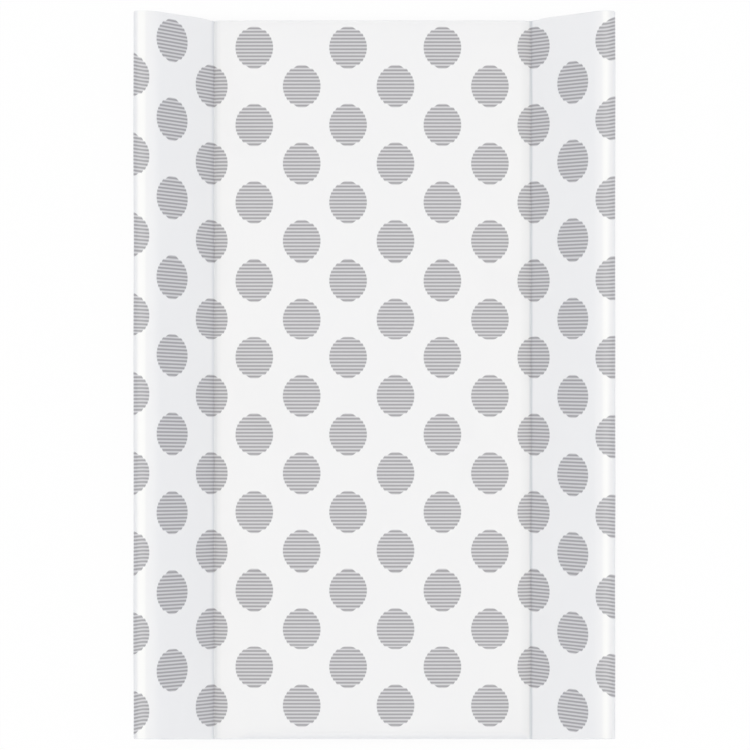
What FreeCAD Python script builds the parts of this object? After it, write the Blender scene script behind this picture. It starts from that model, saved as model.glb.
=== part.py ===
import FreeCAD, Part
import os
import re
import Sketcher

# Hard changing board: a stiff base board with a foam mat between two foam side wings, under one
# printed film that is pulled down along both creases and stapled beneath. Two stop battens under
# the board drop between the rails of a cot. X runs across, Y towards the head end, Z up from the
# surface the board stands on. Lengths are in millimetres and angles in degrees.

SIZES = {
    # the covered board as a whole
    "overall_length": 784,
    "overall_width": 512,
    "mat_width": 345,
    "wing_rise": 48,
    "foot_lean": 9.3,
    "crest_inner_run": 9.8,
    "crest_flat": 1,
    "crest_outer_radius": 9,
    "edge_radius": 4,
    # the pulled-in crease between mat and wing
    "crease_depth": 3,
    "crease_roll": 10,
    "crease_roll_radius": 20,
    "crease_radius": 1.5,
    # thicknesses and clearances
    "film_thickness": 0.6,
    "fit_gap": 0.2,
    "board_thickness": 10,
    "mat_foam_thickness": 20,
    "sheet_thickness": 0.4,
    # hem of the film and closing sheet below
    "hem_width": 35,
    "sheet_overlap": 14,
    # strips that hold the creases down
    "strip_thickness": 0.6,
    "strip_foot": 18,
    "strip_end_inset": 14,
    # staples
    "staple_crown": 10,
    "staple_wire": 0.7,
    "staple_width": 1.2,
    "staple_leg": 7,
    "staple_corner_inset": 44,
    "hem_staple_inset": 12,
    "hem_staple_pitch": 50,
    "sheet_staple_inset": 28,
    "sheet_staple_pitch": 64,
    "crease_staple_pitch": 60,
    # stop battens, their screws and their pads
    "stop_spacing": 590,
    "batten_end_inset": 46,
    "batten_width": 32,
    "batten_height": 18,
    "batten_chamfer": 1.5,
    "screw_count": 4,
    "screw_end_inset": 60,
    "screw_diameter": 4,
    "screw_head_diameter": 8,
    "screw_head_rim": 0.5,
    "screw_length": 25,
    "screw_tip": 4,
    "screw_sink": 0.5,
    "screw_clearance": 0.25,
    "recess_span": 4.4,
    "recess_slot": 1.1,
    "recess_depth": 1.8,
    "pad_diameter": 20,
    "pad_height": 3,
    "pad_round": 0.8,
    "pad_end_inset": 22,
}

# Levels and insets that follow from the sizes, written as rules
shell = "(film_thickness + fit_gap)"
batten_top = "(pad_height + batten_height)"
base_z = "(pad_height + batten_height + sheet_thickness)"
board_top_z = f"({base_z} + {shell} + board_thickness)"
mat_z = f"({board_top_z} + mat_foam_thickness + {shell})"
crest_z = f"({mat_z} + wing_rise)"
crease_x = "(mat_width / 2)"
crest_corner_x = "(overall_width / 2 - crest_outer_radius - crest_flat - crest_inner_run)"
slope_angle = f"atan((wing_rise + crease_depth) / ({crest_corner_x} - {crease_x}))"
batten_length = "(overall_width - 2 * batten_end_inset)"
strip_half = "(strip_thickness / 2 + fit_gap)"
side_span = "(overall_length - 2 * staple_corner_inset)"

doc = FreeCAD.newDocument("changing_board")
sheet = doc.addObject("Spreadsheet::Sheet", "Dims")
for row, (alias, number) in enumerate(SIZES.items(), start=1):
    sheet.set(f"A{row}", alias.replace("_", " "))
    sheet.set(f"B{row}", str(number))
    sheet.setAlias(f"B{row}", alias)
doc.recompute()


def bound(rule):
    """Write a rule so that its names point at the cells of the sheet."""
    return re.sub(r"[a-z_]+", lambda w: f"Dims.{w[0]}" if w[0] in SIZES else w[0], rule)


def size(rule):
    """Work out a rule as a number."""
    return float(sheet.evalExpression(bound(rule)))


def place(piece, across="0", along="0", up="0"):
    """Put a piece at rules measured from the origin of the board."""
    for axis, rule in zip("xyz", (across, along, up)):
        piece.setExpression(f"Placement.Base.{axis}", bound(rule))


def origin_part(body, role):
    """Find a plane or an axis of a body's own origin."""
    return next(part for part in body.Origin.OriginFeatures if part.Role == role)


def new_body(label):
    """Start a body that carries the name of a sub-part."""
    body = doc.addObject("PartDesign::Body", label)
    body.AllowCompound = True
    return body


def pin(sketch, line, kind, rule):
    """Hold the start of a line at a rule measured from the sketch's origin."""
    number = size(rule)
    if abs(number) < 1e-9:
        axis = -2 if kind == "DistanceX" else -1
        sketch.addConstraint(Sketcher.Constraint("PointOnObject", line, 1, axis))
    elif number > 0:
        index = sketch.addConstraint(Sketcher.Constraint(kind, -1, 1, line, 1, number))
        sketch.setExpression(f"Constraints[{index}]", bound(rule))
    else:
        index = sketch.addConstraint(Sketcher.Constraint(kind, line, 1, -1, 1, -number))
        sketch.setExpression(f"Constraints[{index}]", bound(f"-({rule})"))


def outline(body, name, plane, corners):
    """Draw a closed outline with its corners at pairs of rules on a plane of the body."""
    sketch = body.newObject("Sketcher::SketchObject", name)
    sketch.AttachmentSupport = [(origin_part(body, plane), "")]
    sketch.MapMode = "FlatFace"
    places = [FreeCAD.Vector(size(across), size(up), 0) for across, up in corners]
    for start, end in zip(places, places[1:] + places[:1]):
        sketch.addGeometry(Part.LineSegment(start, end))
    for line in range(len(corners)):
        following = (line + 1) % len(corners)
        sketch.addConstraint(Sketcher.Constraint("Coincident", line, 2, following, 1))
    for line, (across, up) in enumerate(corners):
        pin(sketch, line, "DistanceX", across)
        pin(sketch, line, "DistanceY", up)
    doc.recompute()
    return sketch


def extrude(body, kind, sketch, length, side="Symmetric", reverse=False):
    """Pad or pocket an outline by a rule."""
    feature = body.newObject(f"PartDesign::{kind}", f"{sketch.Name}_{kind.lower()}")
    feature.Profile = sketch
    feature.SideType = side
    feature.Reversed = reverse
    feature.setExpression("Length", bound(length))
    doc.recompute()
    return feature


def turn(body, kind, sketch):
    """Revolve or groove an outline once round the sketch's upright axis."""
    feature = body.newObject(f"PartDesign::{kind}", f"{sketch.Name}_{kind.lower()}")
    feature.Profile = sketch
    feature.ReferenceAxis = (sketch, ["V_Axis"])
    feature.Angle = 360
    doc.recompute()
    return feature


def soften(body, kind, base, wanted, rule):
    """Fillet or chamfer the edges of a feature that pass a test."""
    names = [f"Edge{n}" for n, edge in enumerate(base.Shape.Edges, start=1) if wanted(edge)]
    feature = body.newObject(f"PartDesign::{kind}", f"{base.Name}_{kind.lower()}")
    feature.Base = (base, names)
    feature.setExpression("Radius" if kind == "Fillet" else "Size", bound(rule))
    doc.recompute()
    return feature


def repeat(body, originals, axis, count, span, second=None):
    """Repeat features evenly over a span, and over a second span across it where one is given."""
    pattern = body.newObject("PartDesign::LinearPattern", f"{body.Name}_row")
    pattern.Originals = originals
    pattern.Direction = (origin_part(body, axis), [""])
    pattern.Mode = "Extent"
    pattern.setExpression("Length", bound(span))
    pattern.setExpression("Occurrences", bound(count))
    if second:
        pattern.Direction2 = (origin_part(body, second[0]), [""])
        pattern.Mode2 = "Extent"
        pattern.setExpression("Length2", bound(second[1]))
        pattern.Occurrences2 = 2
    body.Tip = pattern
    doc.recompute()
    return pattern


def block(name, across, along, up):
    """Make a box from three pairs of rules, each a low end and a length."""
    box = doc.addObject("Part::Box", name)
    for side, (low, length) in zip(("Length", "Width", "Height"), (across, along, up)):
        box.setExpression(side, bound(length))
    place(box, across[0], along[0], up[0])
    return box


def combine(kind, label, base, tool):
    """Cut a tool from a base, or keep what the two share."""
    result = doc.addObject(f"Part::{kind}", label)
    result.Base = base
    result.Tool = tool
    doc.recompute()
    return result


def group(name, members):
    """Gather tools that are cut together."""
    gathered = doc.addObject("Part::Compound", name)
    gathered.Links = members
    return gathered


def lengthwise(across, up):
    """Test for the edges that run along the board at a distance from its middle and a height."""
    x, z = size(across), size(up)

    def wanted(edge):
        ends = [vertex.Point for vertex in edge.Vertexes]
        on_line = all(abs(abs(p.x) - x) < 1e-4 and abs(p.z - z) < 1e-4 for p in ends)
        return on_line and abs(ends[0].x - ends[-1].x) < 1e-4

    return wanted


def at_ends_or_base(inset):
    """Test for the edges round both end faces and along both sides of the base."""
    side = size(f"overall_width / 2 - {inset}")
    low = size(f"{base_z} + {inset}")
    head = size(f"overall_length / 2 - {inset}")
    foot = size(f"-overall_length / 2 + {inset} / cos(foot_lean)")
    rake = size("tan(foot_lean)")
    base = size(base_z)

    def on_end(p):
        return abs(p.y - head) < 1e-4 or abs(p.y - foot - (p.z - base) * rake) < 1e-4

    def wanted(edge):
        points = edge.discretize(5)
        if len({p.y > 0 for p in points}) == 1 and all(on_end(p) for p in points):
            return True
        return all(abs(abs(p.x) - side) < 1e-4 and abs(p.z - low) < 1e-4 for p in points)

    return wanted


def padded_form(name, inset):
    """Make the whole upholstered form, drawn in from the outside of the film by an inset."""
    body = new_body(name)
    shift = f"{inset} * tan({slope_angle} / 2)"
    side = f"overall_width / 2 - {inset}"
    low = f"{base_z} + {inset}"
    crest = f"{crest_z} - {inset}"
    crest_corner = f"{crest_corner_x} + {shift}"
    crest_round = f"crest_inner_run / tan({slope_angle} / 2) - {inset}"
    valley = f"{crease_x} + {shift}"
    valley_z = f"{mat_z} - crease_depth - {inset}"
    mat_corner = f"{crease_x} - crease_roll"
    mat = f"{mat_z} - {inset}"
    half = [(side, low), (side, crest), (crest_corner, crest), (valley, valley_z), (mat_corner, mat)]
    mirrored = [(f"-({across})", up) for across, up in reversed(half)]
    profile = outline(body, f"{name}_profile", "XZ_Plane", half + mirrored)
    form = extrude(body, "Pad", profile, f"overall_length - 2 * {inset}")

    top = f"{crest_z} + edge_radius"
    foot = f"-overall_length / 2 + {inset} / cos(foot_lean)"
    leaning = f"{foot} + ({top} - {base_z}) * tan(foot_lean)"
    beyond = "-overall_length / 2 - edge_radius"
    rake = [(foot, base_z), (leaning, top), (beyond, top), (beyond, base_z)]
    cut = outline(body, f"{name}_rake", "YZ_Plane", rake)
    form = extrude(body, "Pocket", cut, "2 * overall_width")

    form = soften(body, "Fillet", form, lengthwise(crest_corner, crest), crest_round)
    form = soften(body, "Fillet", form, lengthwise(side, crest), f"crest_outer_radius - {inset}")
    form = soften(body, "Fillet", form, lengthwise(valley, valley_z), f"crease_radius + {inset}")
    form = soften(body, "Fillet", form, lengthwise(mat_corner, mat), f"crease_roll_radius - {inset}")
    soften(body, "Fillet", form, at_ends_or_base(inset), f"edge_radius - {inset}")
    return body


def staple_rows(label, crown_axis, legs, up, pitch, span, apart):
    """Make two facing rows of staples whose crowns run the way the rows do, about the middle."""
    body = new_body(label)
    half = "staple_crown / 2"
    inner = "staple_crown / 2 - staple_wire"
    leg = f"{legs} * staple_leg"
    back = f"{-legs} * staple_wire"
    corners = [
        (f"-({half})", back),
        (half, back),
        (half, leg),
        (inner, leg),
        (inner, "0"),
        (f"-({inner})", "0"),
        (f"-({inner})", leg),
        (f"-({half})", leg),
    ]
    planes = {"X_Axis": "XZ_Plane", "Y_Axis": "YZ_Plane"}
    bent = outline(body, f"{label}_bend", planes[crown_axis], corners)
    staple = extrude(body, "Pad", bent, "staple_width")
    count = f"floor(({span}) / {pitch} + 0.5) + 1"
    first, row = f"-({span}) / 2", f"-({apart}) / 2"
    if crown_axis == "X_Axis":
        repeat(body, [staple], "X_Axis", count, span, ("Y_Axis", apart))
        place(body, first, row, up)
    else:
        repeat(body, [staple], "Y_Axis", count, span, ("X_Axis", apart))
        place(body, row, first, up)
    return body


def perimeter_staples(prefix, inset, pitch, up):
    """Make the staples along both sides and both ends at one distance from the edge."""
    width = f"overall_width - 2 * {inset}"
    length = f"overall_length - 2 * {inset}"
    end_span = "overall_width - 2 * staple_corner_inset"
    sides = staple_rows(f"side_{prefix}_staples", "Y_Axis", 1, up, pitch, side_span, width)
    ends = staple_rows(f"end_{prefix}_staples", "X_Axis", 1, up, pitch, end_span, length)
    return [sides, ends]


def crease_strip(label, hand):
    """Make the folded strip that the film is welded to along one crease."""
    body = new_body(label)
    low = board_top_z
    foot_top = f"{board_top_z} + strip_thickness"
    top = f"{mat_z} - crease_depth - film_thickness"
    outside = f"{hand} * ({crease_x} + strip_thickness / 2)"
    inside = f"{hand} * ({crease_x} - strip_thickness / 2)"
    toe = f"{hand} * ({crease_x} - strip_foot)"
    web = [(outside, low), (outside, top), (inside, top), (inside, foot_top)]
    bent = outline(body, f"{label}_fold", "XZ_Plane", web + [(toe, foot_top), (toe, low)])
    extrude(body, "Pad", bent, "overall_length - 2 * strip_end_inset")
    return body


def screw_row(label, along):
    """Make the countersunk screws that hold one batten up against the board."""
    body = new_body(label)
    head = "screw_head_diameter / 2"
    shank = "screw_diameter / 2"
    under_head = f"screw_head_rim + {head} - {shank}"
    corners = [
        ("0", "0"),
        (head, "0"),
        (head, "screw_head_rim"),
        (shank, under_head),
        (shank, "screw_length - screw_tip"),
        (f"{shank} / 8", "screw_length"),
        ("0", "screw_length"),
    ]
    turned = turn(body, "Revolution", outline(body, f"{label}_turning", "XZ_Plane", corners))
    arm = "recess_span / 2"
    slot = "recess_slot / 2"
    quarter = [(arm, slot), (slot, slot), (slot, arm)]
    second = [(f"-{across}", up) for across, up in reversed(quarter)]
    lower = [(f"-{across}", f"-{up}") for across, up in quarter]
    fourth = [(across, f"-{up}") for across, up in reversed(quarter)]
    cross = outline(body, f"{label}_cross", "XY_Plane", quarter + second + lower + fourth)
    recess = extrude(body, "Pocket", cross, "recess_depth", "One side", True)
    repeat(body, [turned, recess], "X_Axis", "screw_count", f"{batten_length} - 2 * screw_end_inset")
    place(body, f"-({batten_length} / 2 - screw_end_inset)", along, "pad_height + screw_sink")
    return body


def stop_batten(label, along):
    """Make one wooden batten, drawn from its first screw hole."""
    body = new_body(label)
    near = "-screw_end_inset"
    far = f"{batten_length} - screw_end_inset"
    face = [(near, "0"), (far, "0"), (far, "batten_height"), (near, "batten_height")]
    bar = extrude(body, "Pad", outline(body, f"{label}_face", "XZ_Plane", face), "batten_width")

    def lower_edge(edge):
        return all(abs(vertex.Z) < 1e-6 for vertex in edge.Vertexes)

    soften(body, "Chamfer", bar, lower_edge, "batten_chamfer")
    mouth = "screw_head_diameter / 2 + screw_clearance"
    hole = "screw_diameter / 2 + screw_clearance"
    seat = "screw_sink + screw_head_rim"
    corners = [
        ("0", "0"),
        (mouth, "0"),
        (mouth, seat),
        (hole, f"{seat} + {mouth} - ({hole})"),
        (hole, "batten_height"),
        ("0", "batten_height"),
    ]
    bored = turn(body, "Groove", outline(body, f"{label}_hole", "XZ_Plane", corners))
    repeat(body, [bored], "X_Axis", "screw_count", f"{batten_length} - 2 * screw_end_inset")
    place(body, f"-({batten_length} / 2 - screw_end_inset)", along, "pad_height")
    return body


def rubber_pad(label, across, along):
    """Make one round pad with a softened lower rim."""
    body = new_body(label)
    radius = "pad_diameter / 2"
    corners = [("0", "0"), (radius, "0"), (radius, "pad_height"), ("0", "pad_height")]
    disc = turn(body, "Revolution", outline(body, f"{label}_turning", "XZ_Plane", corners))

    def lower_rim(edge):
        return all(abs(vertex.Z) < 1e-6 for vertex in edge.Vertexes) and edge.Length > size(radius)

    soften(body, "Fillet", disc, lower_rim, "pad_round")
    place(body, across, along)
    return body


# Fasteners come first, because every piece they pass through takes its holes from them
hem_staples = perimeter_staples("hem", "hem_staple_inset", "hem_staple_pitch", base_z)
sheet_staples = perimeter_staples("sheet", "sheet_staple_inset", "sheet_staple_pitch", batten_top)
strip_top = f"{board_top_z} + strip_thickness"
crease_rows = "mat_width - strip_foot"
crease_staples = staple_rows(
    "crease_staples", "Y_Axis", -1, strip_top, "crease_staple_pitch", side_span, crease_rows
)
batten_y = "((stop_spacing - batten_width) / 2)"
screws = [screw_row("head_batten_screws", batten_y), screw_row("foot_batten_screws", f"-{batten_y}")]

# Printed film: a thin skin round the padded form, open below inside its hem
film_outer = padded_form("film_outer", "0")
film_inner = padded_form("film_inner", "film_thickness")
film_skin = combine("Cut", "film_skin", film_outer, film_inner)
film_window = block(
    "film_window",
    ("hem_width - overall_width / 2", "overall_width - 2 * hem_width"),
    ("hem_width - overall_length / 2", "overall_length - 2 * hem_width"),
    (f"{base_z} - film_thickness", "2 * film_thickness + fit_gap"),
)
cover_holes = group("cover_holes", [film_window] + hem_staples + sheet_staples)
cover_film = combine("Cut", "cover_film", film_skin, cover_holes)

# Board and foam share the inside of the film between them
core = padded_form("core", shell)
full_length = ("-overall_length / 2", "overall_length")
full_width = ("-overall_width / 2", "overall_width")
slab = block("board_slab", full_width, full_length, (f"{base_z} + {shell}", "board_thickness"))
board_blank = combine("Common", "board_blank", core, slab)
board_holes = group("board_holes", hem_staples + sheet_staples + [crease_staples] + screws)
base_board = combine("Cut", "base_board", board_blank, board_holes)

foam_zone = (board_top_z, "mat_foam_thickness + wing_rise + edge_radius")
mat_edge = f"({crease_x} - {strip_half})"
mat_block = block("mat_block", (f"-{mat_edge}", f"2 * {mat_edge}"), full_length, foam_zone)
mat_blank = combine("Common", "mat_blank", core, mat_block)
rebate = ("strip_foot + fit_gap", "strip_thickness + staple_wire + fit_gap")
left_rebate = block("left_rebate", (f"-{crease_x}", rebate[0]), full_length, (board_top_z, rebate[1]))
right_rebate = block(
    "right_rebate", (f"{crease_x} - ({rebate[0]})", rebate[0]), full_length, (board_top_z, rebate[1])
)
mat_foam = combine("Cut", "mat_foam", mat_blank, group("mat_rebates", [left_rebate, right_rebate]))

wedge_edge = f"({crease_x} + {strip_half})"
wedge_width = f"overall_width / 2 - {wedge_edge}"
left_block = block("left_wedge_block", ("-overall_width / 2", wedge_width), full_length, foam_zone)
right_block = block("right_wedge_block", (wedge_edge, wedge_width), full_length, foam_zone)
left_wedge = combine("Common", "left_wedge_foam", core, left_block)
right_wedge = combine("Common", "right_wedge_foam", core, right_block)

# Strips in the creases
left_strip = combine("Cut", "left_crease_strip", crease_strip("left_strip_blank", -1), crease_staples)
right_strip = combine("Cut", "right_crease_strip", crease_strip("right_strip_blank", 1), crease_staples)

# Closing sheet over the staples and the raw board
sheet_inset = "(hem_width - sheet_overlap)"
sheet_blank = block(
    "sheet_blank",
    (f"{sheet_inset} - overall_width / 2", f"overall_width - 2 * {sheet_inset}"),
    (f"{sheet_inset} - overall_length / 2", f"overall_length - 2 * {sheet_inset}"),
    (batten_top, "sheet_thickness"),
)
dust_sheet = combine("Cut", "dust_sheet", sheet_blank, group("sheet_holes", sheet_staples + screws))

# Stop battens, with a pad near each end
battens = [stop_batten("head_stop_batten", batten_y), stop_batten("foot_stop_batten", f"-{batten_y}")]
pad_x = f"({batten_length} / 2 - pad_end_inset)"
pads = [
    rubber_pad("head_left_pad", f"-{pad_x}", batten_y),
    rubber_pad("head_right_pad", pad_x, batten_y),
    rubber_pad("foot_left_pad", f"-{pad_x}", f"-{batten_y}"),
    rubber_pad("foot_right_pad", pad_x, f"-{batten_y}"),
]

pieces = [base_board, mat_foam, left_wedge, right_wedge, left_strip, right_strip, crease_staples]
pieces += [cover_film, dust_sheet] + hem_staples + sheet_staples + battens + screws + pads

doc.recompute()
for item in doc.Objects:
    faults = [word for word in item.State if word in ("Invalid", "Error")]
    if faults:
        raise RuntimeError(f"{item.Label}: {faults}")
os.makedirs("parts", exist_ok=True)
for piece in pieces:
    if piece.Shape.isNull() or not piece.Shape.isValid():
        raise RuntimeError(f"{piece.Label} has no valid shape")
    piece.Shape.exportStep(f"parts/{piece.Label}.step")
    print(f"{piece.Label}: {len(piece.Shape.Solids)} solids, {piece.Shape.Volume / 1000:.2f} cm3")
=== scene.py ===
"""A hard changing board: one printed film over a foam mat and two foam wings on a fibreboard base."""

import logging
import math
from dataclasses import dataclass
from enum import Enum

import bpy
import numpy as np
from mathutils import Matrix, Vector


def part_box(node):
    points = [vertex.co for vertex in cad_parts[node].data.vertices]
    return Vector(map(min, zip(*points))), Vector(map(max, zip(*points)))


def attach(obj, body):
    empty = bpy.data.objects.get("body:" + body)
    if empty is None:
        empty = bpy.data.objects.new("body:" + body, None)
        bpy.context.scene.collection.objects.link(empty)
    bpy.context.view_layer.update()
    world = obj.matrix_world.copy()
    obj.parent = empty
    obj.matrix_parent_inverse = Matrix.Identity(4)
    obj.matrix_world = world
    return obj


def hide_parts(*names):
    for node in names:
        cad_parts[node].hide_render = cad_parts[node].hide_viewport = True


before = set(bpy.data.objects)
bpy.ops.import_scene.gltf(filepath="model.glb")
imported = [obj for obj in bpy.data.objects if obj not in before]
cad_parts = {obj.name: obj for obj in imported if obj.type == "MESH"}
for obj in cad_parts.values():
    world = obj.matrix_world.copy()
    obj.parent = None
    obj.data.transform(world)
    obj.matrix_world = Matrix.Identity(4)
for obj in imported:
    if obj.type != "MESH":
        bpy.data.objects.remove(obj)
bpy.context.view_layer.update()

MM = 0.001
CLOSE = 0.01
UNFOLDED, PAINTED_HIGHLIGHT_SHARE, CREASE_SHADE_SHARE = "unfolded", "painted_highlight_share", "crease_shade_share"
# Place along the unfolded film, in millimetres, beyond the last row of dots.
UNPRINTED = 480.0
COLOURS = {"data_type": "RGBA"}
WHITE = "#FFFFFF"
MIRROR = (-1.0, 1.0)
REPORT = logging.getLogger("changing_board")

Tree, Node, Socket = bpy.types.NodeTree, bpy.types.Node, bpy.types.NodeSocket
Piece = bpy.types.Object
# What an input of a node can get: an output, a hex colour or numbers.
Feed = Node | Socket | str | float | tuple[float, ...]
Faces = list[tuple[int, ...]]


class Hand(Enum):
    """Side of the board, as the sign of its X."""

    LEFT = -1
    RIGHT = 1


class End(Enum):
    """End of the board, as the sign of its Y."""

    FOOT = -1
    HEAD = 1


class Pattern(Enum):
    """Kind of grain in a surface, as the texture that draws it."""

    CLOUDS = "TexNoise"
    CELLS = "TexVoronoi"


def linear(colour: str) -> tuple[float, float, float, float]:
    """Turns an sRGB hex colour into the linear values of a shader socket.

    Args:
        colour: Colour as #RRGGBB.

    Returns:
        Linear red, green, blue and an alpha of one.
    """
    parts = [int(colour[place:place + 2], 16) / 255.0 for place in (1, 3, 5)]
    light = [part / 12.92 if part <= 0.04045 else ((part + 0.055) / 1.055) ** 2.4 for part in parts]
    return light[0], light[1], light[2], 1.0


def give(socket: Socket, value: Feed) -> None:
    """Gives an input its value, or links it to what feeds it.

    Args:
        socket: The input.
        value: Numbers, a hex colour, an output, or a node for its first output in use.
    """
    if isinstance(value, Node):
        value = next(output for output in value.outputs if output.enabled)
    if isinstance(value, Socket):
        socket.id_data.links.new(value, socket)
    else:
        socket.default_value = linear(value) if isinstance(value, str) else value


def add_node(tree: Tree, kind: str, *inputs: Feed, **settings: Feed) -> Node:
    """Adds a node with its settings and what its inputs get.

    Args:
        tree: Node tree that gets the node.
        kind: Type of the node, without its prefix.
        inputs: What its inputs in use get, in their order.
        settings: Values of its properties, or what its inputs get, by name.

    Returns:
        The new node.
    """
    node = tree.nodes.new(f"ShaderNode{kind}")
    for name, value in settings.items():
        if hasattr(node, name):
            setattr(node, name, value)
        else:
            give(node.inputs[name], value)
    for socket, value in zip([socket for socket in node.inputs if socket.enabled], inputs):
        give(socket, value)
    return node


def per_metre(size: float) -> float:
    """Scale of a texture, in features per metre, whose features are size millimetres apart."""
    return 1.0 / (size * MM)


def ease(low: float, high: float, value: np.ndarray) -> np.ndarray:
    """Rises smoothly from 0 where a value is low to 1 where it is high."""
    part = np.clip((value - low) / (high - low), 0.0, 1.0)
    return part * part * (3.0 - 2.0 * part)


def wander(across: np.ndarray, along: np.ndarray, wave: float, seed: int) -> np.ndarray:
    """Smooth, uneven values between about -1 and 1 that are the same on each run.

    Args:
        across: First coordinate in millimetres.
        along: Second coordinate in millimetres.
        wave: Usual length of a wave in millimetres.
        seed: Number that picks the pattern.

    Returns:
        A value for each point.
    """
    draws = np.random.default_rng(seed)
    total = np.zeros(np.broadcast(across, along).shape)
    for _ in range(7):
        turn = draws.uniform(0.0, math.tau)
        length = wave * draws.uniform(0.7, 1.6)
        total = total + np.sin(
            (across * math.cos(turn) + along * math.sin(turn)) * math.tau / length + draws.uniform(0.0, math.tau)
        )
    return total / 3.2


def quads(numbers: np.ndarray, turned: bool = False) -> Faces:
    """Joins a grid of points with faces of four corners.

    Args:
        numbers: Numbers of the points, in rows.
        turned: Whether the faces look the other way.

    Returns:
        The faces, row by row.
    """
    corners = (numbers[:-1, :-1], numbers[:-1, 1:], numbers[1:, 1:], numbers[1:, :-1])
    faces = np.stack(corners[::-1] if turned else corners, axis=-1).reshape(-1, 4)
    return [tuple(face) for face in faces.tolist()]


@dataclass(frozen=True)
class Grain:
    """A pattern in a surface, with features of one size in millimetres."""

    pattern: Pattern
    size: float
    detail: float = 2.0
    roughness: float = 0.5

    def draw(self, tree: Tree, place: Feed) -> Node:
        """Adds the pattern's texture to a material, at the places on its surface that it is given."""
        more = {"Detail": self.detail, "Roughness": self.roughness} if self.pattern is Pattern.CLOUDS else {}
        return add_node(tree, self.pattern.value, Vector=place, Scale=per_metre(self.size), **more)


@dataclass(frozen=True, kw_only=True)
class Finish:
    """What the real material is and how its surface was made, as one Blender material."""

    name: str
    roughness: float
    ior: float = 1.5
    metallic: float = 0.0
    sheen: float = 0.0
    gloss_swing: float = 0.0
    gloss_band: tuple[float, float] = (0.3, 0.7)
    strength: float = 0.0
    depth: float = 0.0

    def material(self) -> bpy.types.Material:
        """Makes the finish's material on its first use.

        Returns:
            The material.
        """
        made = bpy.data.materials.get(self.name)
        if made is None:
            made = bpy.data.materials.new(self.name)
            made.use_nodes = True
            shader = made.node_tree.nodes["Principled BSDF"]
            even = {"Roughness": self.roughness, "IOR": self.ior}
            even |= {"Metallic": self.metallic, "Sheen Weight": self.sheen}
            for name, value in (even | self.dress(made.node_tree)).items():
                give(shader.inputs[name], value)
        return made

    def dress(self, tree: Tree) -> dict[str, Feed]:
        """Adds the finish's own nodes to a material's tree and returns what its shader's inputs get."""
        raise NotImplementedError

    def raised(self, tree: Tree, height: Node) -> Node:
        """Adds the surface's relief, with the height that a pattern gives."""
        return add_node(tree, "Bump", Strength=self.strength, Distance=self.depth * MM, Height=height)

    def clouded(self, tree: Tree, cloud: Node) -> Node:
        """Adds a roughness that swings to either side of its usual value as a pattern does."""
        ends = self.roughness - self.gloss_swing, self.roughness + self.gloss_swing
        return add_node(tree, "MapRange", cloud, *self.gloss_band, *ends)


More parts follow.
